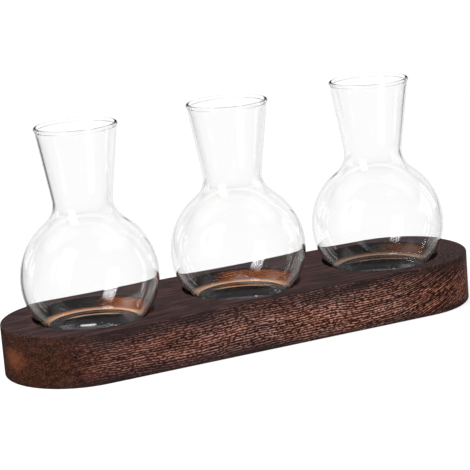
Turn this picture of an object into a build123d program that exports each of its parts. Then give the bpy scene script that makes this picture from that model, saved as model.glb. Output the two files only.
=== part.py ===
"""Propagation vase: three blown glass vases in a row, each standing in a round recess of one wooden stand.

Millimetres, +Z up. The origin is the centre of the stand's underside. +X runs along the row of vases
and +Y points away from someone who stands in front of it.
"""
from build123d import *
from math import atan2, cos, degrees, radians, sin, sqrt
import os

# Stand: one board with fully rounded ends, as long and wide as its recesses and the wood round them
stand_height = 30.3
wood_beside_recess = 8.45
wood_beyond_last_recess = 19.05
stand_edge_round = 1.0

# Row of vases, named from left to right as seen from the front
vase_names = ("vase_left", "vase_middle", "vase_right")
gap_between_bulbs = 14.4

# Recess: a flat-bottomed round pocket that keeps a vase from sliding off the stand
recess_depth = 8.0
recess_clearance = 1.5
recess_edge_round = 0.4
cut_overrun = 5.0

# Vase, outside: a ball flattened at the foot and blended into a neck that opens like a cone
vase_height = 118.0
bulb_radius = 40.0
bulb_centre_height = 29.3
heel_radius = 3.0
neck_blend_radius = 14.6
neck_taper_degrees = 8.37
mouth_radius = 24.0

# Vase, foot: a flat ring to stand on, round a shallow dome
foot_ring_width = 6.0
punt_depth = 0.8

# Vase, glass: an even wall, a thicker base and a round bead melted onto the rim
wall = 1.4
base_thickness = 2.4
inner_heel_radius = 6.0
bead_swell = 0.45
bead_melt_radius = 1.0

# Directions in the profile, in degrees from the outward horizontal
downward = -90
half_turn = 180

Point = tuple[float, float]


def recess_radius() -> float:
    """Radius of the pocket: the bulb's radius where it passes the stand's top, and its clearance."""
    rise_to_centre = bulb_centre_height - recess_depth
    return sqrt(bulb_radius**2 - rise_to_centre**2) + recess_clearance


def vase_places() -> list[float]:
    """Place of each vase's axis along the row, from the first vase to the last."""
    spacing = 2 * bulb_radius + gap_between_bulbs
    middle_number = (len(vase_names) - 1) / 2
    return [(number - middle_number) * spacing for number in range(len(vase_names))]


def stand_outline() -> Sketch:
    """Outline of the board: straight sides, and ends rounded over the full width."""
    length = 2 * (vase_places()[-1] + recess_radius() + wood_beyond_last_recess)
    width = 2 * (recess_radius() + wood_beside_recess)
    return SlotOverall(length, width)


def stand() -> Part:
    """Board with fully rounded ends, softened edges and one pocket for each vase."""
    board = extrude(stand_outline(), stand_height)
    flat_faces = board.faces().sort_by(Axis.Z)
    board = fillet(flat_faces[0].edges() + flat_faces[-1].edges(), stand_edge_round)
    base_up = (Align.CENTER, Align.CENTER, Align.MIN)
    pocket = Cylinder(recess_radius(), recess_depth + cut_overrun, align=base_up)
    for place in vase_places():
        board -= Pos(place, 0, stand_height - recess_depth) * pocket
    pocket_edges = [edge for wire in board.faces().sort_by(Axis.Z)[-1].inner_wires() for edge in wire.edges()]
    return fillet(pocket_edges, recess_edge_round)


def corner_centre(ball_radius: float, floor_height: float, corner_radius: float) -> Point:
    """Centre of an arc that touches a flat floor and, from inside, a ball round the bulb's centre."""
    height = floor_height + corner_radius
    return sqrt((ball_radius - corner_radius)**2 - (bulb_centre_height - height)**2), height


def bead_radius() -> float:
    """Radius of the rim's bead, which stands out from the wall on both sides."""
    return wall / 2 + bead_swell


def bead_centre() -> Point:
    """Centre of the rim's bead, on the middle of the neck's wall."""
    return mouth_radius - bead_radius(), vase_height - bead_radius()


def neck_blend_centre() -> Point:
    """Centre of the arc between bulb and neck, which touches the ball and the cone from outside."""
    taper = radians(neck_taper_degrees)
    beside = wall / 2 + neck_blend_radius
    start_radius = bead_centre()[0] + beside * cos(taper)
    start_rise = bead_centre()[1] - beside * sin(taper) - bulb_centre_height
    along_neck = start_radius * sin(taper) + start_rise * cos(taper)
    reach = bulb_radius + neck_blend_radius
    down = along_neck - sqrt(along_neck**2 - start_radius**2 - start_rise**2 + reach**2)
    return start_radius - down * sin(taper), bulb_centre_height + start_rise - down * cos(taper)


def direction(from_point: Point, to_point: Point) -> float:
    """Direction from one point of the profile to another, in degrees."""
    return degrees(atan2(to_point[1] - from_point[1], to_point[0] - from_point[0]))


def arc(centre: Point, radius: float, start: float, end: float) -> Edge:
    """Arc of the profile about a centre, from one direction to another."""
    return CenterArc(centre, radius, start, end - start)


def foot_lines(heel: Point) -> list[Edge]:
    """Underside of the foot, from the axis to the heel: the dome and the flat ring round it."""
    punt_radius = heel[0] - foot_ring_width
    dome_radius = (punt_radius**2 + punt_depth**2) / (2 * punt_depth)
    half_way = punt_radius / 2
    half_way_height = sqrt(dome_radius**2 - half_way**2) - (dome_radius - punt_depth)
    return [ThreePointArc((0, punt_depth), (half_way, half_way_height), (punt_radius, 0)),
            Line((punt_radius, 0), (heel[0], 0))]


def rim_lines() -> list[Edge]:
    """Bead of the rim, from the neck's outer face to its inner face, melted into both."""
    taper = radians(neck_taper_degrees)
    outward = -neck_taper_degrees
    inward = half_turn - neck_taper_degrees
    beside = wall / 2 + bead_melt_radius
    below = sqrt((bead_radius() + bead_melt_radius)**2 - beside**2)
    turn = degrees(atan2(below, beside))
    under_bead = (bead_centre()[0] - below * sin(taper), bead_centre()[1] - below * cos(taper))
    outer_melt = (under_bead[0] + beside * cos(taper), under_bead[1] - beside * sin(taper))
    inner_melt = (under_bead[0] - beside * cos(taper), under_bead[1] + beside * sin(taper))
    return [arc(outer_melt, bead_melt_radius, inward, inward - turn),
            arc(bead_centre(), bead_radius(), outward - turn, inward + turn),
            arc(inner_melt, bead_melt_radius, outward + turn, outward)]


def vase_profile() -> Sketch:
    """Half section of the glass, in the plane of X and Z, with the foot at height zero."""
    ball = (0, bulb_centre_height)
    blend = neck_blend_centre()
    to_blend = direction(ball, blend)
    from_neck = half_turn - neck_taper_degrees
    heel = corner_centre(bulb_radius, 0, heel_radius)
    inner_heel = corner_centre(bulb_radius - wall, base_thickness, inner_heel_radius)
    outside = [arc(heel, heel_radius, downward, direction(ball, heel)),
               arc(ball, bulb_radius, direction(ball, heel), to_blend),
               arc(blend, neck_blend_radius, half_turn + to_blend, from_neck)]
    rim = rim_lines()
    inside = [arc(blend, neck_blend_radius + wall, from_neck, half_turn + to_blend),
              arc(ball, bulb_radius - wall, to_blend, direction(ball, inner_heel)),
              arc(inner_heel, inner_heel_radius, direction(ball, inner_heel), downward)]
    straights = [Line(outside[-1] @ 1, rim[0] @ 0),
                 Line(rim[-1] @ 1, inside[0] @ 0),
                 Line((inner_heel[0], base_thickness), (0, base_thickness)),
                 Line((0, base_thickness), (0, punt_depth))]
    return make_face([*foot_lines(heel), *outside, *rim, *inside, *straights])


def vase(place: float) -> Part:
    """One vase, blown in one piece, standing on the floor of its pocket."""
    glass = revolve(Plane.XZ * vase_profile(), Axis.Z)
    return Pos(place, 0, stand_height - recess_depth) * glass


def main() -> None:
    """Write one STEP file for each piece."""
    os.makedirs("parts", exist_ok=True)
    export_step(stand(), "parts/stand.step")
    for name, place in zip(vase_names, vase_places()):
        export_step(vase(place), f"parts/{name}.step")


if __name__ == "__main__":
    main()
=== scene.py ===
"""Propagation vase: three clear glass vases in the round recesses of a scorched wooden stand.

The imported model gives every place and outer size. The vases are spun anew at a finer grain and get
glass, and the stand gets its scorched and brushed wood. Sizes in this file are millimetres unless a
name or a docstring says otherwise, and Blender's own units are metres.
"""

import logging
from collections.abc import Mapping
from dataclasses import dataclass, field
from enum import Enum
from math import atan2, cos, pi, radians, sin, sqrt

import bmesh
import bpy
from mathutils import Euler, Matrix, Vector


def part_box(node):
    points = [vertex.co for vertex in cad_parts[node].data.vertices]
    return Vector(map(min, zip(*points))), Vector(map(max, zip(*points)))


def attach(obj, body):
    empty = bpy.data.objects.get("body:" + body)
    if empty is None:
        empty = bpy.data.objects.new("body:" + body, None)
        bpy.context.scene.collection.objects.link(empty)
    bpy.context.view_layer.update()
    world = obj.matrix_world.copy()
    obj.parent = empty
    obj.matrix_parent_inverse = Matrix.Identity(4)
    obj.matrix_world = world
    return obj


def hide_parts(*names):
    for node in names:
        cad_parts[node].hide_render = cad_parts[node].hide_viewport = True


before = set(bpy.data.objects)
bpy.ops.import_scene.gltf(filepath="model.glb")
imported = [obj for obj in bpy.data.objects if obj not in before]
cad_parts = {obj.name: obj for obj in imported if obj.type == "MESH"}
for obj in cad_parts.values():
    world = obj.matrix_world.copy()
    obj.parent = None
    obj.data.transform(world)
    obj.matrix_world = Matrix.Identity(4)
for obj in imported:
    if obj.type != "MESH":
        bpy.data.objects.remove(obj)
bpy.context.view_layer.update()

MM = 0.001
DEGREE = radians(1.0)
log = logging.getLogger("propagation_vase")

# Points of a mesh in millimetres that are closer than this are one point
WELD = 0.0001

# Bands that a wave texture draws in one unit at a scale of one
WAVES_PER_UNIT = 20 / (2 * pi)

# Watts per square metre at which the face of an area lamp is as bright as lit white
WATTS_TO_WHITE = 4.0

# Kinds of node that come often, with their settings. A mix of colours takes them at sockets 6 and 7, and
# a mix of numbers at 2 and 3.
MINUS, TIMES, TIMES_PLUS, LARGER, UNSIGNED = (("ShaderNodeMath", {"operation": name}) for name in (
    "SUBTRACT", "MULTIPLY", "MULTIPLY_ADD", "MAXIMUM", "ABSOLUTE"))
LENGTH, DIRECTION, DOT = (("ShaderNodeVectorMath", {"operation": name}) for name in (
    "LENGTH", "NORMALIZE", "DOT_PRODUCT"))
COLOURS, NUMBERS = (("ShaderNodeMix", {"data_type": name}) for name in ("RGBA", "FLOAT"))
FADED = ("ShaderNodeMapRange", {"interpolation_type": "SMOOTHSTEP"})

Tree = bpy.types.NodeTree
Socket = bpy.types.NodeSocket
Stops = tuple[tuple[float, str], ...]
Triple = tuple[float, float, float]
Point = tuple[float, float]


class Slot(Enum):
    """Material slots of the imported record."""

    WOOD = "scorched_wood"
    GLASS = "clear_glass"


def linear(hex_colour: str) -> tuple[float, float, float, float]:
    """Turn an sRGB colour into the linear values that a shader works with.

    Args:
        hex_colour: Colour as written in sRGB, such as "#6a4436".

    Returns:
        Red, green and blue, each from 0 to 1, and an alpha of 1.
    """
    parts = [int(hex_colour[start:start + 2], 16) / 255 for start in (1, 3, 5)]
    red, green, blue = (part / 12.92 if part <= 0.04045 else ((part + 0.055) / 1.055)**2.4 for part in parts)
    return red, green, blue, 1.0


def per_metre(size: float) -> float:
    """Scale of a pattern whose features are this many millimetres apart."""
    return 1 / (size * MM)


def add_node(tree: Tree, kind: str, settings: Mapping[str, object] | None = None,
             inputs: Mapping[str | int, object] | None = None, stops: Stops = (),
             output: str = "") -> Socket | None:
    """Add one shader node with its settings, values and links.

    Args:
        tree: Node tree of a material, a lamp or the world.
        kind: Blender's name for the node's class.
        settings: Properties of the node, by name.
        inputs: Value or linked socket for each input, by the input's name or number.
        stops: Places and sRGB colours of a colour ramp, from low to high.
        output: Name of the output that is wanted, where it isn't the first in use.

    Returns:
        That output of the new node, or None where it has no output.
    """
    node = tree.nodes.new(kind)
    for name, value in (settings or {}).items():
        setattr(node, name, value)
    for name, value in (inputs or {}).items():
        if isinstance(value, Socket):
            tree.links.new(value, node.inputs[name])
        else:
            node.inputs[name].default_value = value
    if stops:
        ramp = node.color_ramp.elements
        while len(ramp) < len(stops):
            ramp.new(1.0)
        for element, (place, colour) in zip(ramp, stops):
            element.position = place
            element.color = linear(colour)
    return node.outputs[output] if output else next((out for out in node.outputs if out.enabled), None)


def new_material(name: str) -> bpy.types.Material:
    """Make a material with an empty node tree.

    Args:
        name: What the material is and how its surface was made.

    Returns:
        The material.
    """
    material = bpy.data.materials.new(name)
    material.use_nodes = True
    material.node_tree.nodes.clear()
    return material


def new_piece(name: str, bm: bmesh.types.BMesh) -> bpy.types.Object:
    """Turn a finished bmesh into an object of the scene, smoothly shaded.

    Args:
        name: Name of the object and of its mesh.
        bm: Finished mesh in metres, which is freed.

    Returns:
        The object, at the origin.
    """
    mesh = bpy.data.meshes.new(name)
    bm.to_mesh(mesh)
    bm.free()
    mesh.shade_smooth()
    piece = bpy.data.objects.new(name, mesh)
    bpy.context.scene.collection.objects.link(piece)
    return piece


@dataclass(frozen=True)
class Fade:
    """A stretch of one quantity, and the two values between which another passes along it."""

    start: float
    end: float
    first: float = 0.0
    last: float = 1.0

    def over(self, quantity: Socket, unit: float = 1.0) -> dict[str, Socket | float]:
        """Write the fade as the inputs of a Map Range node.

        Args:
            quantity: The quantity that the stretch is measured on.
            unit: What the stretch is counted in, such as MM where the quantity is in metres.

        Returns:
            The inputs, by name.
        """
        return {"Value": quantity, "From Min": unit * self.start, "From Max": unit * self.end,
                "To Min": self.first, "To Max": self.last}


@dataclass(frozen=True)
class BlownGlass:
    """Clear soda-lime glass, mouth-blown and fire-polished.

    Its surface is as smooth as the melt left it, so it shows clear mirror images of the lamps and thin
    outlines. Lamps and soft light pass straight through, which keeps what stands behind the thin wall as
    bright as it is in life.
    """

    tint: str = "#ffffff"
    refraction: float = 1.5

    def material(self) -> bpy.types.Material:
        """Make the glass.

        Returns:
            The material.
        """
        made = new_material("blown_soda_lime_glass")
        tree = made.node_tree
        glass = add_node(tree, "ShaderNodeBsdfPrincipled", inputs={
            "Base Color": linear(self.tint), "Roughness": 0.0, "IOR": self.refraction,
            "Transmission Weight": 1.0})
        clear = add_node(tree, "ShaderNodeBsdfTransparent", inputs={"Color": linear(self.tint)})
        path = add_node(tree, "ShaderNodeLightPath").node.outputs
        soft = add_node(tree, *LARGER, {0: path["Is Shadow Ray"], 1: path["Is Diffuse Ray"]})
        either = add_node(tree, "ShaderNodeMixShader", inputs={0: soft, 1: glass, 2: clear})
        add_node(tree, "ShaderNodeOutputMaterial", inputs={"Surface": either})
        return made


@dataclass(frozen=True)
class Board:
    """What the wood's pattern needs to know of one board: its tree, its stand and its patterns.

    The place and its parts along, across and up are in metres, and the patterns are numbers near 0 to 1.
    """

    tree: Tree
    stand: "Stand"
    place: Socket
    along: Socket
    across: Socket
    height: Socket
    flecks: Socket
    rows: Socket
    grooves: Socket
    streaks: Socket
    blotches: Socket


@dataclass(frozen=True)
class LightShadeSpot:
    """A painted spot: light where the lamp falls on the wood, shade where the wood turns away from it."""

    place: Triple
    size: Triple
    colour: str
    share: float


@dataclass(frozen=True)
class ScorchedWood:
    """Solid wood, scorched with a flame, wire-brushed and thinly oiled.

    The flame blackens the edges most, the brush takes the char off the hard fibres, and so short pale
    flecks stand in wavy rows along the grain over a dark, reddish ground; painted shade dims the flecks
    towards the left end. One end shows quiet end grain with a painted patch of light, the other is
    brushed into long grooves, and painted shade darkens each end where it turns away. The planed top
    keeps fine streaks under a purplish bloom. The recesses are sooty black and darkened by painted
    shade, orange in painted light on one side at the back, with a ring of bare wood on the floor whose
    bright band next to the foot is painted light. Real rings and fibres are finer than a pixel of the
    picture, so lines and grains are drawn as coarse as it can show.
    """

    # Grain, with sizes along, across and up
    fleck_size: Triple = (1.9, 0.7, 0.7)
    row_size: Triple = (36.0, 3.2, 3.2)
    groove_size: Triple = (16.0, 2.6, 2.6)
    streak_size: Triple = (36.0, 0.9, 0.9)
    blotch_size: Triple = (42.0, 34.0, 15.0)
    grain_roughness: float = 0.55
    row_pitch: float = 1.35
    row_wobble: float = 4.2
    groove_pitch: float = 3.0
    groove_wobble: float = 2.5
    groove_line_share: float = 0.5
    line_squeeze: float = 0.4
    sway_size: float = 62.0
    sway_height: float = 4.5
    rise_from: float = 72.0
    rise: float = 0.006
    grain_turn: Triple = (0.3, 0.025, 0.0)

    # Ends: where along the board each passes into the rest, and what a pattern is worth on either side
    quiet_end: tuple[float, float] = (-136.0, -103.0)
    quiet_rows: tuple[float, float] = (0.06, 0.29)
    quiet_char: tuple[float, float] = (0.25, 1.0)
    grooved_end: tuple[float, float] = (72.0, 112.0)
    groove_shares: tuple[float, float] = (0.2, 0.78)
    groove_red: tuple[float, float] = (0.0, 0.85)

    # Brushed side
    ground: Stops = ((0.34, "#230f0c"), (0.50, "#371915"), (0.66, "#4d271e"))
    pale: Stops = ((0.38, "#ad8278"), (0.50, "#dfaa9b"), (0.62, "#db9c84"))
    reddish: str = "#cc8468"
    mottle: Stops = ((0.66, "#1c0e08"), (0.82, "#311a11"), (0.98, "#4a2b1d"))
    mottle_cloud: float = 0.6
    groove_colour: str = "#1a0e0d"
    groove_cut: Fade = Fade(0.84, 1.0)
    bare: Fade = Fade(0.6, 0.9)
    bare_in_row: Fade = Fade(0.36, 0.6, 0.6, 1.0)
    # Painted shade: the pale flecks are dimmed towards the left end
    fleck_shade_along: Fade = Fade(-90.0, 30.0, 0.46, 1.0)

    # Char, with heights as shares of the board's
    char: str = "#2a2122"
    low_char: Fade = Fade(0.23, 0.03)
    high_char: Fade = Fade(0.55, 0.97, 0.0, 0.95)
    patchy_char: Fade = Fade(0.35, 0.6, 1.0, 0.65)
    # Painted light on the left end's front, and painted shade where the left end turns to the back and on
    # the right end
    light_and_shade_spots: tuple[LightShadeSpot, ...] = (
        LightShadeSpot((-147.9, -9.5, 15.0), (18.0, 13.0, 8.0), "#6f3e26", 0.7),
        LightShadeSpot((-143.0, 22.0, 15.0), (16.0, 23.0, 60.0), "#120c0b", 0.9),
        LightShadeSpot((150.0, -12.0, 15.0), (19.0, 17.0, 50.0), "#150d0c", 0.85))
    mark_edge: tuple[float, float] = (0.5, -0.6)
    mark_fray: float = 1.2

    # Recesses, with angles from the row's direction and the stretch between two as shares of their spacing
    # The walls are sooty and darkened by painted shade, and painted light on the side facing the key lamp,
    # at the back, shows orange wood there
    soot_and_shade: str = "#141011"
    painted_lit_wall: Stops = ((0.50, "#3a1a0b"), (0.72, "#8f4a1d"), (0.92, "#c47a3c"))
    lit_wall_towards: float = radians(25.0)
    lit_wall_reach: Fade = Fade(0.92, 1.12)
    lit_wall_fray: float = 0.25
    lit_wall_behind: Fade = Fade(0.22, 0.5)
    lit_wall_more_in_middle: float = 0.4
    sooty_rim_share: float = 0.3
    # Painted shade with a cool painted reflection: the floor under the foot and in front is drawn dark
    # blue-grey
    painted_floor_shade: str = "#1c1f24"
    # A ring of bare wood past the foot, its bright peach band next to the foot a painted pool of light
    bare_ring_and_light: Stops = ((0.06, "#1c1f24"), (0.22, "#ffcfa4"), (0.50, "#d08a55"), (1.00, "#6a3716"))
    raw_towards: float = radians(72.0)
    raw_reach: Fade = Fade(-0.1, 0.6)
    floor_share: float = 0.97
    last_recess_share: float = 0.5
    between_recesses: tuple[float, float] = (0.375, 0.625)

    # Top and surface
    planed: Stops = ((0.34, "#181011"), (0.46, "#2f2022"), (0.56, "#47312f"), (0.66, "#694740"))
    facing_up: Fade = Fade(0.45, 0.85)
    relief_depth: float = 0.16
    groove_relief: float = 2.0
    roughness: float = 0.55
    sheen: float = 0.06

    def grain(self, tree: Tree, place: Socket, size: Triple, detail: float) -> Socket:
        """Spread a pattern of grains through the wood.

        Args:
            tree: Node tree of the wood.
            place: Place in the wood, in metres.
            size: Size of one grain along, across and up.
            detail: How many finer layers the pattern has.

        Returns:
            The pattern, from 0 to 1 about its middle of 0.5.
        """
        mapped = add_node(tree, "ShaderNodeMapping", inputs={
            "Vector": place, "Scale": tuple(per_metre(part) for part in size)})
        return add_node(tree, "ShaderNodeTexNoise", inputs={
            "Vector": mapped, "Scale": 1.0, "Detail": detail, "Roughness": self.grain_roughness})

    def swayed(self, tree: Tree, place: Socket, along: Socket) -> Socket:
        """Let the grain wander up and down and sideways, and rise towards the board's right end.

        Args:
            tree: Node tree of the wood.
            place: Place in the wood, in metres.
            along: Its part along the board.

        Returns:
            The place as the grain sees it.
        """
        sway = add_node(tree, "ShaderNodeTexNoise", inputs={
            "Vector": place, "Scale": per_metre(self.sway_size), "Detail": 1.0}, output="Color")
        centred = add_node(tree, "ShaderNodeVectorMath", {"operation": "SUBTRACT"}, {
            0: sway, 1: (0.5, 0.5, 0.5)})
        reach = 2 * self.sway_height * MM
        wandering = add_node(tree, "ShaderNodeVectorMath", {"operation": "MULTIPLY_ADD"}, {
            0: centred, 1: (0.0, reach, reach), 2: place})
        past = add_node(tree, *MINUS, {0: along, 1: self.rise_from * MM})
        rising = add_node(tree, *LARGER, {0: past, 1: 0.0})
        squared = add_node(tree, *TIMES, {0: rising, 1: rising})
        down = add_node(tree, *TIMES, {0: squared, 1: -self.rise / MM})
        lowered = add_node(tree, "ShaderNodeCombineXYZ", inputs={"Z": down})
        risen = add_node(tree, "ShaderNodeVectorMath", {"operation": "ADD"}, {0: wandering, 1: lowered})
        return add_node(tree, "ShaderNodeMapping", inputs={"Vector": risen, "Rotation": self.grain_turn})

    def lines(self, tree: Tree, swayed: Socket, pitch: float, wobble: float) -> Socket:
        """Draw the growth rings as lines along the board.

        Args:
            tree: Node tree of the wood.
            swayed: Place in the wood with wandering grain.
            pitch: Distance between two lines.
            wobble: How far the lines stray, in parts of their distance.

        Returns:
            The pattern, from 0 between two lines to 1 on a line.
        """
        lengthened = add_node(tree, "ShaderNodeMapping", inputs={
            "Vector": swayed, "Scale": (self.line_squeeze, 1.0, 1.0)})
        return add_node(tree, "ShaderNodeTexWave", {"bands_direction": "Z"}, {
            "Vector": lengthened, "Scale": per_metre(pitch) / WAVES_PER_UNIT, "Distortion": wobble,
            "Detail": 1.0, "Detail Scale": 1.0}, output="Fac")

    def board(self, tree: Tree, stand: "Stand") -> Board:
        """Lay out every pattern of the wood once.

        Args:
            tree: Node tree of the wood.
            stand: The stand that the board is cut to.

        Returns:
            The board with its patterns.
        """
        place = add_node(tree, "ShaderNodeTexCoord", output="Object")
        along, across, height = add_node(tree, "ShaderNodeSeparateXYZ", inputs={0: place}).node.outputs
        swayed = self.swayed(tree, place, along)
        lined = add_node(tree, *FADED, Fade(*self.quiet_end, *self.quiet_rows).over(along, MM))
        flecks = add_node(tree, *TIMES_PLUS, {
            0: self.lines(tree, swayed, self.row_pitch, self.row_wobble), 1: lined,
            2: self.grain(tree, swayed, self.fleck_size, 1.0)})
        grooved = add_node(tree, *FADED, Fade(*self.grooved_end, *self.groove_shares).over(along, MM))
        lengths = add_node(tree, *TIMES_PLUS, {
            0: self.lines(tree, swayed, self.groove_pitch, self.groove_wobble), 1: self.groove_line_share,
            2: self.grain(tree, swayed, self.groove_size, 1.0)})
        deep = add_node(tree, *FADED, self.groove_cut.over(lengths))
        grooves = add_node(tree, *TIMES, {0: deep, 1: grooved})
        return Board(tree, stand, place, along, across, height, flecks,
                     self.grain(tree, swayed, self.row_size, 2.0), grooves,
                     self.grain(tree, swayed, self.streak_size, 2.0),
                     self.grain(tree, place, self.blotch_size, 2.0))

    def side(self, board: Board) -> Socket:
        """Colour the brushed side: pale flecks over a dark, reddish ground with darker grooves.

        Args:
            board: The board.

        Returns:
            The colour.
        """
        tree = board.tree
        ground = add_node(tree, "ShaderNodeValToRGB", inputs={"Fac": board.rows}, stops=self.ground)
        pale = add_node(tree, "ShaderNodeValToRGB", inputs={"Fac": board.blotches}, stops=self.pale)
        bare = add_node(tree, *FADED, self.bare.over(board.flecks))
        in_row = add_node(tree, "ShaderNodeMapRange", inputs=self.bare_in_row.over(board.rows))
        # Painted shade dims the pale flecks towards the left end
        lighter = add_node(tree, *FADED, self.fleck_shade_along.over(board.along, MM))
        in_rows = add_node(tree, *TIMES, {0: bare, 1: in_row})
        share = add_node(tree, *TIMES, {0: in_rows, 1: lighter})
        reddened = add_node(tree, *FADED, Fade(*self.grooved_end, *self.groove_red).over(board.along, MM))
        hard = add_node(tree, *COLOURS, {0: reddened, 6: pale, 7: linear(self.reddish)})
        brushed = add_node(tree, *COLOURS, {0: share, 6: ground, 7: hard})
        clouded = add_node(tree, *TIMES_PLUS, {0: board.rows, 1: self.mottle_cloud, 2: board.flecks})
        mottle = add_node(tree, "ShaderNodeValToRGB", inputs={"Fac": clouded}, stops=self.mottle)
        lively = add_node(tree, *FADED, Fade(*self.quiet_end).over(board.along, MM))
        with_end = add_node(tree, *COLOURS, {0: lively, 6: mottle, 7: brushed})
        return add_node(tree, *COLOURS, {0: board.grooves, 6: with_end, 7: linear(self.groove_colour)})

    def charred(self, board: Board, colour: Socket) -> Socket:
        """Blacken a side towards its lower and upper edge, where the flame bites, and set the spots of
        painted light and painted shade.

        Args:
            board: The board.
            colour: Colour of the brushed side.

        Returns:
            The colour.
        """
        tree = board.tree
        in_heights = board.stand.height * MM
        low = add_node(tree, *FADED, self.low_char.over(board.height, in_heights))
        high = add_node(tree, *FADED, self.high_char.over(board.height, in_heights))
        edge = add_node(tree, *LARGER, {0: low, 1: high})
        patchy = add_node(tree, "ShaderNodeMapRange", inputs=self.patchy_char.over(board.blotches))
        bitten = add_node(tree, *FADED, Fade(*self.quiet_end, *self.quiet_char).over(board.along, MM))
        most = add_node(tree, *TIMES, {0: edge, 1: patchy})
        share = add_node(tree, *TIMES, {0: most, 1: bitten})
        marked = add_node(tree, *COLOURS, {0: share, 6: colour, 7: linear(self.char)})
        # Spots of painted light and painted shade at the board's ends
        for mark in self.light_and_shade_spots:
            off = add_node(tree, "ShaderNodeVectorMath", {"operation": "SUBTRACT"}, {
                0: board.place, 1: tuple(part * MM for part in mark.place)})
            measured = add_node(tree, "ShaderNodeVectorMath", {"operation": "MULTIPLY"}, {
                0: off, 1: tuple(per_metre(part) for part in mark.size)})
            away = add_node(tree, *LENGTH, {0: measured})
            frayed = add_node(tree, *TIMES_PLUS, {0: board.flecks, 1: -self.mark_fray, 2: away})
            inside = add_node(tree, *FADED, Fade(*self.mark_edge, 0.0, mark.share).over(frayed))
            marked = add_node(tree, *COLOURS, {0: inside, 6: marked, 7: linear(mark.colour)})
        return marked

    def towards(self, board: Board, outwards: Socket, angle: float) -> Socket:
        """Tell how far a direction in a recess points one way.

        Args:
            board: The board.
            outwards: Direction from the recess's middle.
            angle: Angle of the way, from the row's direction.

        Returns:
            The cosine of the angle between both.
        """
        return add_node(board.tree, *DOT, {0: outwards, 1: (cos(angle), sin(angle), 0.0)})

    def recess_wall(self, board: Board, outwards: Socket, light_and_bare_share: Socket) -> Socket:
        """Colour the recesses' walls: sooty and darkened by painted shade, orange on one side at the back
        where painted light falls.

        Args:
            board: The board.
            outwards: Direction from the recess's middle.
            light_and_bare_share: Share of the painted light that this recess keeps.

        Returns:
            The colour.
        """
        tree = board.tree
        stand = board.stand
        # Painted light: orange shows only on the wall facing the key lamp, at the back; elsewhere painted
        # shade
        from_middle = add_node(tree, *UNSIGNED, {0: board.along})
        wider = add_node(tree, *FADED, Fade(*self.between_recesses, self.lit_wall_more_in_middle, 0.0).over(
            from_middle, stand.spacing * MM))
        reach = add_node(tree, "ShaderNodeMath", {"operation": "ADD"}, {
            0: self.towards(board, outwards, self.lit_wall_towards), 1: wider})
        frayed = add_node(tree, *TIMES_PLUS, {0: board.flecks, 1: self.lit_wall_fray, 2: reach})
        painted_lit_wall = add_node(tree, *FADED, self.lit_wall_reach.over(frayed))
        backwards = self.towards(board, outwards, self.raw_towards)
        behind = add_node(tree, *FADED, self.lit_wall_behind.over(backwards))
        below_rim = add_node(tree, *FADED, Fade(
            stand.height, stand.height - self.sooty_rim_share * stand.recess_depth).over(board.height, MM))
        share = light_and_bare_share
        for part in (painted_lit_wall, behind, below_rim):
            share = add_node(tree, *TIMES, {0: share, 1: part})
        orange = add_node(tree, "ShaderNodeValToRGB", inputs={"Fac": board.flecks}, stops=self.painted_lit_wall)
        return add_node(tree, *COLOURS, {0: share, 6: linear(self.soot_and_shade), 7: orange})

    def recess_floor(self, board: Board, radius: Socket, outwards: Socket, light_and_bare_share: Socket) -> Socket:
        """Colour the recesses' floors: painted shade with a cool painted reflection, and at the back a ring
        of bare wood round the foot, brightened next to the foot by painted light.

        Args:
            board: The board.
            radius: Distance from the recess's middle, in metres.
            outwards: Direction from there.
            light_and_bare_share: Share of the painted light and bare wood that this recess keeps.

        Returns:
            The colour.
        """
        tree = board.tree
        past_foot = add_node(tree, "ShaderNodeMapRange", inputs=Fade(
            board.stand.foot_radius, board.stand.recess_radius).over(radius, MM))
        # Bare wood past the foot, brightest next to it in a painted pool of light
        bare_ring_and_light = add_node(tree, "ShaderNodeValToRGB", inputs={"Fac": past_foot}, stops=self.bare_ring_and_light)
        backwards = self.towards(board, outwards, self.raw_towards)
        behind = add_node(tree, *FADED, self.raw_reach.over(backwards))
        share = add_node(tree, *TIMES, {0: behind, 1: light_and_bare_share})
        # Away from the back ring the floor keeps its painted shade and painted reflection
        return add_node(tree, *COLOURS, {0: share, 6: linear(self.painted_floor_shade), 7: bare_ring_and_light})

    def recess(self, board: Board) -> tuple[Socket, Socket]:
        """Colour the recesses, and tell where they are.

        Args:
            board: The board.

        Returns:
            The colour inside a recess, and one inside or zero outside.
        """
        tree = board.tree
        stand = board.stand
        half = stand.spacing * MM / 2
        along = add_node(tree, "ShaderNodeMath", {"operation": "WRAP"}, {0: board.along, 1: half, 2: -half})
        spoke = add_node(tree, "ShaderNodeCombineXYZ", inputs={"X": along, "Y": board.across})
        radius = add_node(tree, *LENGTH, {0: spoke})
        outwards = add_node(tree, *DIRECTION, {0: spoke})
        rim = stand.recess_radius + stand.recess_edge
        within = add_node(tree, "ShaderNodeMapRange", inputs=Fade(
            rim, rim - stand.recess_edge / 2).over(radius, MM))
        above = add_node(tree, "ShaderNodeMath", {"operation": "GREATER_THAN"}, {
            0: board.height, 1: stand.height * MM / 2})
        here = add_node(tree, *TIMES, {0: within, 1: above})
        # Share of the painted light and bare wood that each recess keeps, half in the last
        light_and_bare_share = add_node(tree, *FADED, Fade(*self.between_recesses, 1.0, self.last_recess_share).over(
            board.along, stand.spacing * MM))
        on_floor = add_node(tree, "ShaderNodeMath", {"operation": "LESS_THAN"}, {
            0: board.height, 1: (stand.height - self.floor_share * stand.recess_depth) * MM})
        colour = add_node(tree, *COLOURS, {
            0: on_floor, 6: self.recess_wall(board, outwards, light_and_bare_share),
            7: self.recess_floor(board, radius, outwards, light_and_bare_share)})
        return colour, here

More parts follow.
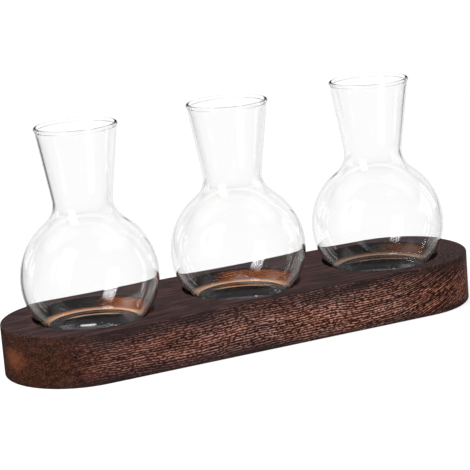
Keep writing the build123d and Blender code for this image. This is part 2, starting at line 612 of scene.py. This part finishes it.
    def material(self, stand: "Stand") -> bpy.types.Material:
        """Make the wood of one board.

        Args:
            stand: The stand, whose recesses and edges the flame treats in their own way.

        Returns:
            The material.
        """
        made = new_material("scorched_brushed_oiled_wood")
        tree = made.node_tree
        board = self.board(tree, stand)
        planed = add_node(tree, "ShaderNodeValToRGB", inputs={"Fac": board.streaks}, stops=self.planed)
        normal = add_node(tree, "ShaderNodeNewGeometry", output="Normal")
        rise = add_node(tree, "ShaderNodeSeparateXYZ", inputs={0: normal}, output="Z")
        upward = add_node(tree, *FADED, self.facing_up.over(rise))
        outside = add_node(tree, *COLOURS, {
            0: upward, 6: self.charred(board, self.side(board)), 7: planed})
        recess, here = self.recess(board)
        colour = add_node(tree, *COLOURS, {0: here, 6: outside, 7: recess})
        carved = add_node(tree, *TIMES_PLUS, {0: board.grooves, 1: -self.groove_relief, 2: board.flecks})
        relief = add_node(tree, "ShaderNodeBump", inputs={
            "Height": carved, "Distance": self.relief_depth * MM, "Strength": 1.0})
        finish = add_node(tree, "ShaderNodeBsdfPrincipled", inputs={
            "Base Color": colour, "Roughness": self.roughness, "Specular IOR Level": self.sheen,
            "Normal": relief})
        add_node(tree, "ShaderNodeOutputMaterial", inputs={"Surface": finish})
        return made


@dataclass(frozen=True)
class Field:
    """An upright field of the mirrored room. Angles are degrees from straight behind the object.

    They turn to the right as the camera sees it, and rise from the horizon.
    """

    turn: float
    half_width: float
    foot: float
    top: float
    level: float
    soft_edge: float = 2.0

    def share(self, tree: Tree, turned: Socket, rise: Socket) -> Socket:
        """Mark the field in the room.

        Args:
            tree: Node tree of the world.
            turned: Angle from straight behind the object, in radians.
            rise: Angle above the horizon, in radians.

        Returns:
            One in the field and zero outside, with a soft edge.
        """
        half, soft = self.half_width, self.soft_edge
        off = add_node(tree, *MINUS, {0: turned, 1: radians(self.turn)})
        away = add_node(tree, *UNSIGNED, {0: off})
        share = add_node(tree, *FADED, Fade(half + soft, half - soft).over(away, DEGREE))
        for end, inwards in ((self.foot, soft), (self.top, -soft)):
            upright = add_node(tree, *FADED, Fade(end - inwards, end + inwards).over(rise, DEGREE))
            share = add_node(tree, *TIMES, {0: share, 1: upright})
        return share


@dataclass(frozen=True)
class Surround:
    """How bright the white surround is to each kind of sight.

    The camera sees it as plain white. Through glass it is over-exposed, as a lit studio cloth is, so that
    clear walls stay nearly white. A mirror image shows it lit behind the object and dim beside and in
    front of it. Two dark cards lie beside the lit part and draw the thin outlines of the glass, and a
    dark gap above the table's far edge keeps the bases dark. Strip lights stand low round the room, a
    tiny one in the gap makes the glint in the left vase's foot, and a panel overhead keeps the rims
    light. Soft light comes from all round.
    """

    through_glass: float = 1.125
    overhead: float = 0.62
    overhead_from: float = radians(12.0)
    overhead_to: float = radians(50.0)
    lit: float = 0.92
    lit_within: float = radians(28.0)
    lit_from: float = 120.0
    room: float = 0.12
    room_beyond: float = radians(50.0)
    card: float = 0.16
    card_left: float = 170.0
    card_right: float = 228.0
    card_width: float = 110.0
    card_spread: float = 0.4
    card_front: float = 60.0
    card_edge: float = 20.0
    gap: Field = Field(0.0, 13.0, 4.0, 27.0, 0.04)
    strips: tuple[Field, ...] = (
        Field(-72.0, 2.0, -8.0, 14.0, 1.8, 1.0), Field(-62.0, 1.5, -8.0, 14.0, 1.2, 1.0),
        Field(-49.0, 2.0, -8.0, 14.0, 1.6, 1.0), Field(-42.0, 1.0, -8.0, 14.0, 1.0, 1.0),
        Field(50.0, 2.0, -8.0, 24.0, 1.6, 1.0), Field(59.0, 1.5, -8.0, 24.0, 1.2, 1.0),
        Field(72.0, 2.5, -8.0, 24.0, 1.4, 1.0))
    glint: Field = Field(-4.8, 0.5, 15.42, 15.6, 4.5, 0.12)
    panel: Field = Field(0.0, 100.0, 34.0, 100.0, 0.5, 6.0)
    soft_light: float = 0.6

    def turned_over(self, tree: Tree, depth: str) -> Socket:
        """Tell whether a ray has been mirrored, refracted or scattered on its way.

        Args:
            tree: Node tree of a material or of the world.
            depth: Name of the Light Path output that counts such turns.

        Returns:
            One where there was such a turn, else zero.
        """
        turns = add_node(tree, "ShaderNodeLightPath", output=depth)
        return add_node(tree, "ShaderNodeMath", {"operation": "GREATER_THAN"}, {0: turns, 1: 0.0})

    def mirrored(self, tree: Tree, ahead: Socket) -> Socket:
        """Work out the level that a mirror image shows.

        Args:
            tree: Node tree of a material or of the world.
            ahead: Cosine of the angle between a direction and straight behind the object.

        Returns:
            The level.
        """
        return add_node(tree, *FADED, Fade(
            cos(self.room_beyond), cos(self.lit_within), self.room, self.lit).over(ahead))

    def shown(self, tree: Tree, mirrored: Socket, through: Socket | float) -> Socket:
        """Work out the surround's level for sight that no matt surface has scattered.

        Args:
            tree: Node tree of a material or of the world.
            mirrored: Level that a mirror image shows.
            through: Level that is seen through glass.

        Returns:
            The level.
        """
        clear = add_node(tree, *NUMBERS, {
            0: self.turned_over(tree, "Transmission Depth"), 2: 1.0, 3: through})
        return add_node(tree, *NUMBERS, {0: self.turned_over(tree, "Glossy Depth"), 2: clear, 3: mirrored})


@dataclass(frozen=True)
class WhitePaper:
    """Matt seamless paper of a studio table.

    Seen direct or through glass it is as white as the surround, and the object's shadow lies on it as a
    pale grey.
    """

    surround: Surround
    paper: str = "#ffffff"
    glow: float = 0.73
    shade: float = 0.45
    bounce: str = "#e6e6e6"

    def carded(self, tree: Tree, across: Socket, away: Socket, mirrored: Socket) -> Socket:
        """Lay the dark cards' mirror images over the table's.

        Args:
            tree: Node tree of the paper.
            across: Place to the right as the camera sees it, in metres.
            away: Place behind the object, in metres.
            mirrored: Level that a mirror image of the bare table shows.

        Returns:
            The level that a mirror image shows.
        """
        around = self.surround
        front, half, soft = around.card_front, around.card_width / 2, around.card_edge
        behind = add_node(tree, *FADED, Fade(front - soft, front + soft).over(away, MM))
        for side, near in ((-1.0, around.card_left), (1.0, around.card_right)):
            beside = add_node(tree, *TIMES_PLUS, {0: across, 1: side, 2: -(near + half) * MM})
            off = add_node(tree, *TIMES_PLUS, {0: away, 1: -around.card_spread, 2: beside})
            aside = add_node(tree, *UNSIGNED, {0: off})
            on_card = add_node(tree, *FADED, Fade(half + soft, half - soft).over(aside, MM))
            share = add_node(tree, *TIMES, {0: on_card, 1: behind})
            mirrored = add_node(tree, *NUMBERS, {0: share, 2: mirrored, 3: around.card})
        return mirrored

    def material(self, forward: Vector) -> bpy.types.Material:
        """Make the paper.

        Args:
            forward: Direction in which the lit sweep runs away behind the object.

        Returns:
            The material.
        """
        made = new_material("white_seamless_paper")
        tree = made.node_tree
        around = self.surround
        place = add_node(tree, "ShaderNodeTexCoord", output="Object")
        across, away = (add_node(tree, *DOT, {0: place, 1: way})
                        for way in (forward.cross(Vector((0, 0, 1))), forward))
        begun = add_node(tree, "ShaderNodeVectorMath", {"operation": "ADD"}, {
            0: place, 1: around.lit_from * MM * forward})
        heading = add_node(tree, *DIRECTION, {0: begun})
        ahead = add_node(tree, *DOT, {0: heading, 1: forward})
        mirrored = self.carded(tree, across, away, around.mirrored(tree, ahead))
        lit = linear(self.paper)
        matt = add_node(tree, "ShaderNodeBsdfDiffuse", inputs={
            "Color": tuple(self.shade * part for part in lit[:3]) + lit[3:]})
        light = add_node(tree, "ShaderNodeEmission", inputs={"Color": lit, "Strength": self.glow})
        direct = add_node(tree, "ShaderNodeAddShader", inputs={0: matt, 1: light})
        bright = add_node(tree, "ShaderNodeEmission", inputs={
            "Color": lit, "Strength": around.shown(tree, mirrored, around.through_glass)})
        turned = add_node(tree, *LARGER, {
            0: around.turned_over(tree, "Transmission Depth"), 1: around.turned_over(tree, "Glossy Depth")})
        seen = add_node(tree, "ShaderNodeMixShader", inputs={0: turned, 1: direct, 2: bright})
        plain = add_node(tree, "ShaderNodeBsdfDiffuse", inputs={"Color": linear(self.bounce)})
        either = add_node(tree, "ShaderNodeMixShader", inputs={
            0: around.turned_over(tree, "Diffuse Depth"), 1: seen, 2: plain})
        add_node(tree, "ShaderNodeOutputMaterial", inputs={"Surface": either})
        return made


@dataclass(frozen=True)
class Steps:
    """How many edges each stretch of a vase's outline has, and how many faces go round it."""

    dome: int = 8
    ring: int = 2
    heel: int = 6
    ball: int = 56
    blend: int = 16
    neck: int = 14
    melt: int = 4
    bead: int = 24
    inner_heel: int = 12
    floor: int = 8
    around: int = 256


@dataclass
class Vase:
    """One blown vase: ball, cone-shaped neck, bead at the rim, and a thick base on a ring foot."""

    node: str
    bulb_radius: float = 40.0
    bulb_centre_height: float = 29.3
    height: float = 118.0
    heel_radius: float = 3.0
    blend_radius: float = 14.6
    taper: float = radians(8.37)
    mouth_radius: float = 24.0
    foot_ring: float = 6.0
    punt_depth: float = 0.8
    wall: float = 1.4
    base: float = 2.4
    inner_heel_radius: float = 6.0
    bead_swell: float = 0.45
    bead_melt: float = 1.0
    steps: Steps = Steps()
    low: Vector = field(init=False)
    high: Vector = field(init=False)

    def __post_init__(self) -> None:
        """Read the vase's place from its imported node."""
        self.low, self.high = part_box(self.node)

    def turn(self, bm: bmesh.types.BMesh, tip: bmesh.types.BMVert, centre: Point, angle: float,
             steps: int) -> bmesh.types.BMVert:
        """Carry the outline on along an arc.

        Args:
            bm: Mesh that holds the outline.
            tip: Last point of the outline.
            centre: Centre of the arc, as radius and height.
            angle: Turn in radians, anticlockwise as the outline is drawn.
            steps: Number of edges along the arc.

        Returns:
            The new last point.
        """
        swept = bmesh.ops.spin(bm, geom=[tip], cent=(centre[0], 0, centre[1]), axis=(0, -1, 0),
                               angle=angle, steps=steps, use_merge=False)
        return next(item for item in swept["geom_last"] if isinstance(item, bmesh.types.BMVert))

    def run(self, bm: bmesh.types.BMesh, tip: bmesh.types.BMVert, end: Point,
            steps: int) -> bmesh.types.BMVert:
        """Carry the outline on along a straight line.

        Args:
            bm: Mesh that holds the outline.
            tip: Last point of the outline.
            end: Where the line ends, as radius and height.
            steps: Number of edges along the line.

        Returns:
            The new last point.
        """
        step = (Vector((end[0], 0, end[1])) - tip.co) / steps
        for _ in range(steps):
            lengthened = bmesh.ops.extrude_vert_indiv(bm, verts=[tip])
            start, tip = tip, lengthened["verts"][0]
            tip.co = start.co + step
        return tip

    def beside_neck(self, point: Point, out: float, down: float = 0.0) -> Point:
        """Step from a point straight out through the neck's wall, and down along it.

        Args:
            point: The point, as radius and height.
            out: Length of the step outwards.
            down: Length of the step downwards.

        Returns:
            The new point, as radius and height.
        """
        return (point[0] + out * cos(self.taper) - down * sin(self.taper),
                point[1] - out * sin(self.taper) - down * cos(self.taper))

    def corner_centre(self, ball: float, floor: float, corner: float) -> Point:
        """Centre of an arc that touches a flat floor and, from inside, a ball round the bulb's centre.

        Args:
            ball: Radius of the ball.
            floor: Height of the floor above the foot.
            corner: Radius of the arc.

        Returns:
            The centre, as radius and height.
        """
        height = floor + corner
        return sqrt((ball - corner)**2 - (self.bulb_centre_height - height)**2), height

    def blend_centre(self, bead_at: Point) -> Point:
        """Centre of the arc between ball and neck, which touches the ball and the cone from outside.

        Args:
            bead_at: Centre of the rim's bead.

        Returns:
            The centre, as radius and height.
        """
        beside = self.beside_neck(bead_at, self.wall / 2 + self.blend_radius)
        rise = beside[1] - self.bulb_centre_height
        along = beside[0] * sin(self.taper) + rise * cos(self.taper)
        reach = self.bulb_radius + self.blend_radius
        return self.beside_neck(beside, 0.0, along - sqrt(along**2 - beside[0]**2 - rise**2 + reach**2))

    def outline(self, bm: bmesh.types.BMesh) -> None:
        """Draw the half section of the glass, from under the foot over the rim to the inner floor.

        Args:
            bm: Empty mesh that takes the outline.
        """
        bead = self.wall / 2 + self.bead_swell
        bead_at = (self.mouth_radius - bead, self.height - bead)
        blend_at = self.blend_centre(bead_at)
        ball_at = (0.0, self.bulb_centre_height)
        heel_at = self.corner_centre(self.bulb_radius, 0.0, self.heel_radius)
        floor_at = self.corner_centre(self.bulb_radius - self.wall, self.base, self.inner_heel_radius)
        to_blend, to_heel, to_floor = (atan2(point[1] - ball_at[1], point[0])
                                       for point in (blend_at, heel_at, floor_at))
        beside = self.wall / 2 + self.bead_melt
        below = sqrt((bead + self.bead_melt)**2 - beside**2)
        melt_turn = atan2(below, beside)
        outer_melt = self.beside_neck(bead_at, beside, below)
        inner_melt = self.beside_neck(bead_at, -beside, below)
        punt_radius = heel_at[0] - self.foot_ring
        dome_radius = (punt_radius**2 + self.punt_depth**2) / (2 * self.punt_depth)
        dome_at = (0.0, self.punt_depth - dome_radius)
        dome_turn = atan2(punt_radius, dome_radius - self.punt_depth)
        blend_turn = self.taper + to_blend
        steps = self.steps

        tip = bm.verts.new((0, 0, self.punt_depth))
        tip = self.turn(bm, tip, dome_at, -dome_turn, steps.dome)
        tip = self.run(bm, tip, (heel_at[0], 0.0), steps.ring)
        tip = self.turn(bm, tip, heel_at, pi / 2 + to_heel, steps.heel)
        tip = self.turn(bm, tip, ball_at, to_blend - to_heel, steps.ball)
        tip = self.turn(bm, tip, blend_at, -blend_turn, steps.blend)
        tip = self.run(bm, tip, self.beside_neck(outer_melt, -self.bead_melt), steps.neck)
        tip = self.turn(bm, tip, outer_melt, -melt_turn, steps.melt)
        tip = self.turn(bm, tip, bead_at, pi + 2 * melt_turn, steps.bead)
        tip = self.turn(bm, tip, inner_melt, -melt_turn, steps.melt)
        tip = self.run(bm, tip, self.beside_neck(blend_at, -self.blend_radius - self.wall), steps.neck)
        tip = self.turn(bm, tip, blend_at, blend_turn, steps.blend)
        tip = self.turn(bm, tip, ball_at, to_floor - to_blend, steps.ball)
        tip = self.turn(bm, tip, floor_at, -pi / 2 - to_floor, steps.inner_heel)
        self.run(bm, tip, (0.0, self.base), steps.floor)

    def build(self) -> bpy.types.Object:
        """Spin the glass and set it on its place.

        Returns:
            The vase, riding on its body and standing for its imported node.
        """
        bm = bmesh.new()
        self.outline(bm)
        bmesh.ops.spin(bm, geom=bm.verts[:] + bm.edges[:], cent=(0, 0, 0), axis=(0, 0, 1), angle=2 * pi,
                       steps=self.steps.around, use_merge=True)
        bmesh.ops.remove_doubles(bm, verts=bm.verts, dist=WELD)
        bmesh.ops.recalc_face_normals(bm, faces=bm.faces)
        middle = (self.low + self.high) / 2
        bmesh.ops.scale(bm, vec=(MM, MM, MM), verts=bm.verts)
        bmesh.ops.translate(bm, vec=(middle.x, middle.y, self.low.z), verts=bm.verts)
        piece = new_piece(f"{self.node}_glass", bm)
        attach(piece, self.node)
        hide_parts(self.node)
        return piece

    def dress(self, piece: bpy.types.Object, glass: bpy.types.Material) -> None:
        """Give the vase its glass."""
        piece.data.materials.append(glass)


@dataclass
class Stand:
    """The wooden stand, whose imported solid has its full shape."""

    finish: ScorchedWood
    node: str = "stand"
    height: float = 30.3
    spacing: float = 94.4
    recess_radius: float = 35.36
    recess_depth: float = 8.0
    recess_edge: float = 0.4
    foot_radius: float = 26.0

    def dress(self) -> bpy.types.Object:
        """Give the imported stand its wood.

        Returns:
            The stand.
        """
        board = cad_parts[self.node]
        board.data.materials.clear()
        board.data.materials.append(self.finish.material(self))
        return board


@dataclass(frozen=True)
class Softbox:
    """A lamp behind a white cloth, aimed at the object. Angles are degrees and turn to the camera's left.

    Its cloth is brightest in the middle and fades towards its edges, which keeps its mirror images soft.
    """

    name: str
    turn: float
    rise: float
    distance: float
    width: float
    height: float
    brightness: float
    fade_across: float
    fade_up: float

    def light(self) -> bpy.types.Light:
        """Make the lamp's light.

        Returns:
            An area light whose emission fades out at its edges.
        """
        data = bpy.data.lights.new(self.name, "AREA")
        data.shape = "RECTANGLE"
        data.size = self.width * MM
        data.size_y = self.height * MM
        data.energy = WATTS_TO_WHITE * self.brightness * data.size * data.size_y
        data.use_nodes = True
        tree = data.node_tree
        tree.nodes.clear()
        face = add_node(tree, "ShaderNodeNewGeometry", output="Parametric")
        level: Socket | float = 1.0
        for axis, fade in (("X", self.fade_across), ("Y", self.fade_up)):
            share = add_node(tree, "ShaderNodeSeparateXYZ", inputs={0: face}, output=axis)
            inwards = add_node(tree, "ShaderNodeMath", {"operation": "PINGPONG"}, {0: share, 1: 0.5})
            soft = add_node(tree, *FADED, Fade(0.0, fade).over(inwards))
            level = add_node(tree, *TIMES, {0: level, 1: soft})
        cloth = add_node(tree, "ShaderNodeEmission", inputs={"Strength": level})
        add_node(tree, "ShaderNodeOutputLight", inputs={"Surface": cloth})
        return data


@dataclass
class Studio:
    """Camera, table, surround and lamps, all placed from the way the camera looks."""

    aim: Triple = (-1.38, 0.0, 60.12)
    distance: float = 1180.0
    azimuth: float = radians(24.227)
    elevation: float = radians(13.037)
    roll: float = radians(-4.643)
    focal_length: float = 152.98
    sensor: float = 36.0
    table_size: float = 8000.0
    table_drop: float = 0.05
    surround: Surround = Surround()
    softboxes: tuple[Softbox, ...] = (
        Softbox("key_softbox", 42.0, 26.0, 900.0, 380.0, 1000.0, 8.0, 0.15, 0.35),)

    def backwards(self, turn: float, rise: float) -> Vector:
        """Direction from the object outwards.

        Args:
            turn: Angle from the camera towards its left, in radians.
            rise: Angle above the horizon, in radians.

        Returns:
            The direction, of length one.
        """
        heading = self.azimuth + turn
        return Vector((-sin(heading) * cos(rise), -cos(heading) * cos(rise), sin(rise)))

    def place(self, name: str, data: bpy.types.ID, back: Vector, distance: float,
              roll: float = 0.0) -> bpy.types.Object:
        """Put a camera or a lamp in the scene, aimed at the object.

        Args:
            name: Name of the new object.
            data: The camera or the light.
            back: Direction from the object to it.
            distance: Distance from the aim.
            roll: Turn about the line of sight, in radians.

        Returns:
            The new object.
        """
        made = bpy.data.objects.new(name, data)
        bpy.context.scene.collection.objects.link(made)
        made.location = (Vector(self.aim) + distance * back) * MM
        made.rotation_mode = "QUATERNION"
        made.rotation_quaternion = (-back).to_track_quat("-Z", "Y") @ Euler((0, 0, roll)).to_quaternion()
        return made

    def camera(self) -> None:
        """Set up the camera where the photograph was taken from."""
        data = bpy.data.cameras.new("camera")
        data.sensor_width = self.sensor
        data.lens = self.focal_length
        data.clip_end = self.table_size * MM
        back = self.backwards(0.0, self.elevation)
        bpy.context.scene.camera = self.place("camera", data, back, self.distance, self.roll)

    def table(self) -> None:
        """Lay the white table under the object."""
        bm = bmesh.new()
        bmesh.ops.create_grid(bm, x_segments=1, y_segments=1, size=self.table_size * MM / 2)
        bmesh.ops.translate(bm, vec=(0, 0, -self.table_drop * MM), verts=bm.verts)
        made = new_piece("table", bm)
        made.data.materials.append(WhitePaper(self.surround).material(-self.backwards(0.0, 0.0)))

    def room(self) -> None:
        """Make the room: white where it is looked at, dim where it is mirrored, soft where it lights."""
        world = bpy.data.worlds.new("room")
        world.use_nodes = True
        world.cycles.sampling_method = "NONE"
        tree = world.node_tree
        tree.nodes.clear()
        around = self.surround
        heading = add_node(tree, "ShaderNodeTexCoord", output="Generated")
        forward = -self.backwards(0.0, 0.0)
        across, ahead = (add_node(tree, *DOT, {0: heading, 1: way})
                         for way in (forward.cross(Vector((0, 0, 1))), forward))
        turned = add_node(tree, "ShaderNodeMath", {"operation": "ARCTAN2"}, {0: across, 1: ahead})
        height = add_node(tree, "ShaderNodeSeparateXYZ", inputs={0: heading}, output="Z")
        rise = add_node(tree, "ShaderNodeMath", {"operation": "ARCSINE"}, {0: height})
        mirrored = add_node(tree, *NUMBERS, {
            0: around.gap.share(tree, turned, rise), 2: around.mirrored(tree, ahead), 3: around.gap.level})
        for light in (*around.strips, around.glint, around.panel):
            mirrored = add_node(tree, *TIMES_PLUS, {
                0: light.share(tree, turned, rise), 1: light.level, 2: mirrored})
        through = add_node(tree, *FADED, Fade(
            around.overhead_from, around.overhead_to, around.through_glass, around.overhead).over(rise))
        level = add_node(tree, *NUMBERS, {
            0: around.turned_over(tree, "Diffuse Depth"),
            2: around.shown(tree, mirrored, through), 3: around.soft_light})
        sky = add_node(tree, "ShaderNodeBackground", inputs={"Color": linear("#ffffff"), "Strength": level})
        add_node(tree, "ShaderNodeOutputWorld", inputs={"Surface": sky})
        bpy.context.scene.world = world

    def build(self) -> None:
        """Set up the whole studio, with lamps that the camera itself doesn't see."""
        self.camera()
        self.table()
        self.room()
        for box in self.softboxes:
            back = self.backwards(radians(box.turn), radians(box.rise))
            self.place(box.name, box.light(), back, box.distance).visible_camera = False
        bpy.context.scene.view_settings.view_transform = "Standard"


def main() -> None:
    """Build the studio, the vases and the stand, and report each piece."""
    logging.basicConfig(level=logging.INFO, format="%(name)s: %(message)s")
    Studio().build()
    glass = BlownGlass().material()
    for node in ("vase_left", "vase_middle", "vase_right"):
        vase = Vase(node)
        piece = vase.build()
        vase.dress(piece, glass)
        log.info("%s: %d faces, riding on %s", piece.name, len(piece.data.polygons), node)
    board = Stand(ScorchedWood()).dress()
    log.info("%s: packed solid, its slot %s in its own wood", board.name, Slot.WOOD.value)


if __name__ == "__main__":
    main()
